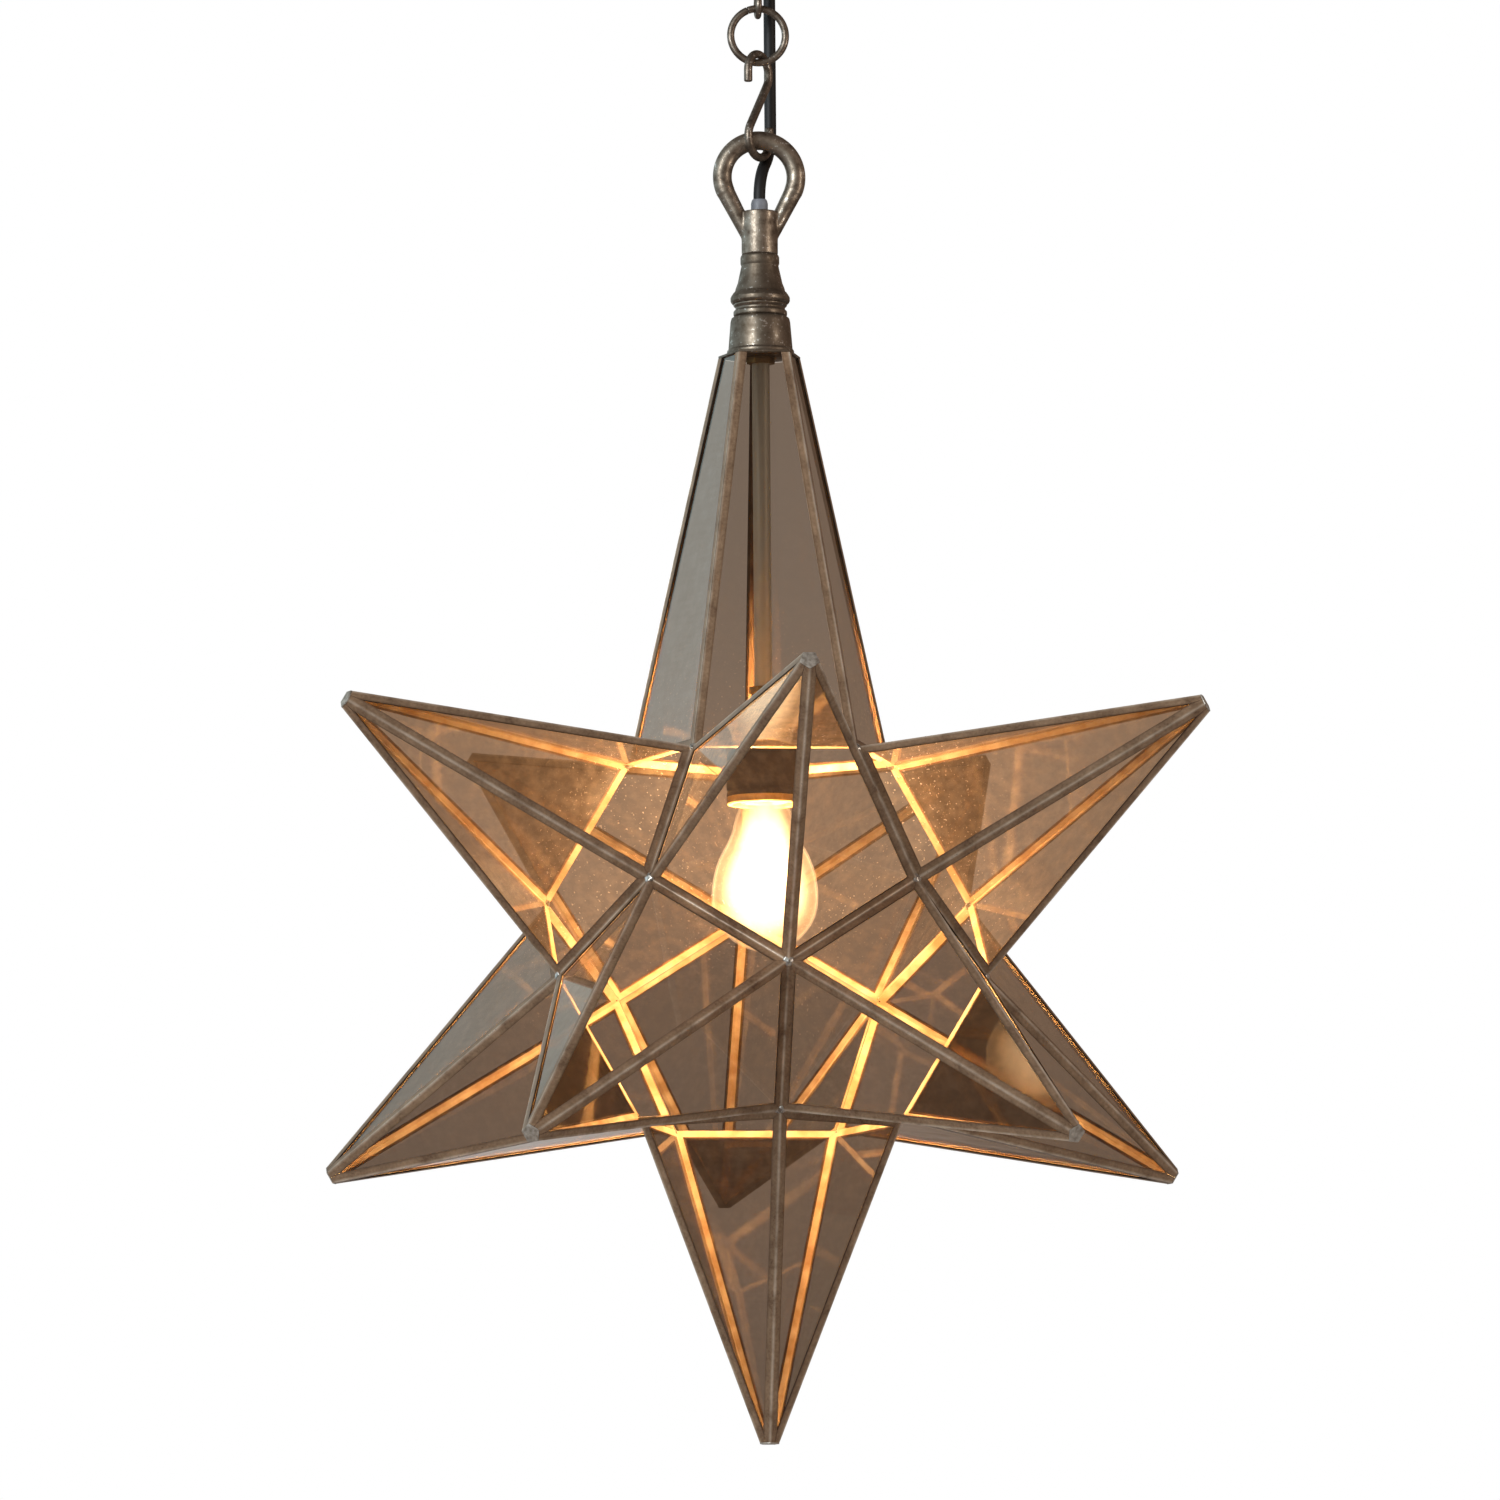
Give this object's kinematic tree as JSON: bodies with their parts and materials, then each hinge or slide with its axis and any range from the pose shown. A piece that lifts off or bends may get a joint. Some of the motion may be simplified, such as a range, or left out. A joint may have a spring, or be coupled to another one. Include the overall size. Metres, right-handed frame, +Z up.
{
  "type": "pendant light",
  "caption": "Star-shaped pendant light of smoked glass points framed in metal strips, hung by a cast loop, S-hook and link from a ceiling hook; one point opens to reach the bulb.",
  "frame": {"origin": "middle of the ceiling face, between the bracket's two screw holes", "axes": "+Z up into the ceiling, +X along the bracket to the right as seen in the picture, +Y away from the viewer"},
  "size_m": [0.486, 0.511, 0.8614],
  "materials": {
    "steel": "zinc plated",
    "cast_metal": "cast and aged to a mottled pewter brown",
    "hook_metal": "aged pewter",
    "strip_metal": "soldered and aged brown",
    "brass": "plain brass",
    "cap_metal": "bright",
    "smoked_glass": "half-silvered antique glass",
    "clear_glass": "clear",
    "black_plastic": "moulded",
    "grey_plastic": "moulded",
    "ceramic": "glazed",
    "flex_sheath": "smooth black sheath"
  },
  "bodies": {
    "ceiling_fitting": {"ceiling_bracket": "steel", "canopy": "cast_metal", "ceiling_hook": "hook_metal", "hook_nut": "steel", "lock_ring": "cast_metal", "cord_grip": "black_plastic", "terminal_block": "ceramic", "terminal_screws": "steel", "rose_flex": "flex_sheath"},
    "link": {"link_ring": "hook_metal", "flex_upper": "flex_sheath"},
    "hook": {"s_hook": "hook_metal", "flex_middle": "flex_sheath"},
    "star": {"flex_lower": "flex_sheath", "loop_casting": "cast_metal", "flex_gland": "grey_plastic", "cone_coupler": "cast_metal", "bead_ring": "cast_metal", "cap_sleeve": "cast_metal", "cap_plate": "strip_metal", "stem_tube": "brass", "stem_flex": "flex_sheath", "cap_nut": "brass", "socket_nut": "brass", "socket_dome": "black_plastic", "socket_body": "black_plastic", "socket_rim": "brass", "socket_insulator": "ceramic", "screw_shell": "brass", "socket_contact": "brass", "top_glass": "smoked_glass", "bottom_glass": "smoked_glass", "upper_glass_1": "smoked_glass", "upper_glass_2": "smoked_glass", "upper_glass_3": "smoked_glass", "upper_glass_4": "smoked_glass", "upper_glass_5": "smoked_glass", "lower_glass_1": "smoked_glass", "lower_glass_2": "smoked_glass", "lower_glass_4": "smoked_glass", "lower_glass_5": "smoked_glass", "top_ridge_strips": "strip_metal", "upper_ridge_strips": "strip_metal", "lower_ridge_strips": "strip_metal", "bottom_ridge_strips": "strip_metal", "valley_strips": "strip_metal", "door_seat_strips": "strip_metal", "tip_plates": "strip_metal", "hinge_star_leaf": "brass", "hinge_pin": "brass"},
    "bulb": {"bulb_glass": "clear_glass", "bulb_cap": "cap_metal", "bulb_filament": "steel"},
    "door": {"door_glass": "smoked_glass", "door_ridge_strips": "strip_metal", "door_base_strips": "strip_metal", "door_tip_plate": "strip_metal", "hinge_door_leaf": "brass", "door_pull": "brass"}
  },
  "joints": [
    {"name": "link_swing", "type": "hinge", "parent": "ceiling_fitting", "child": "link", "pos_m": [0, 0, -0.0504], "axis": [0, 1, 0], "range_deg": [-20, 20], "deforming": ["flex_upper"]},
    {"name": "hook_swing", "type": "hinge", "parent": "link", "child": "hook", "pos_m": [0, 0, -0.0774], "axis": [1, 0, 0], "range_deg": [-15, 15], "deforming": ["flex_middle"]},
    {"name": "star_swing", "type": "hinge", "parent": "hook", "child": "star", "pos_m": [0, 0, -0.1223], "axis": [1, 0, 0], "range_deg": [-15, 15], "deforming": ["flex_lower"]},
    {"name": "bulb_slide", "type": "slide", "parent": "star", "child": "bulb", "axis": [0, 0, -1], "range_m": [0, 0.028]},
    {"name": "door_hinge", "type": "hinge", "parent": "star", "child": "door", "pos_m": [0, 0.06457, -0.68308], "axis": [-1, 0, 0], "range_deg": [0, 90]}
  ]
}
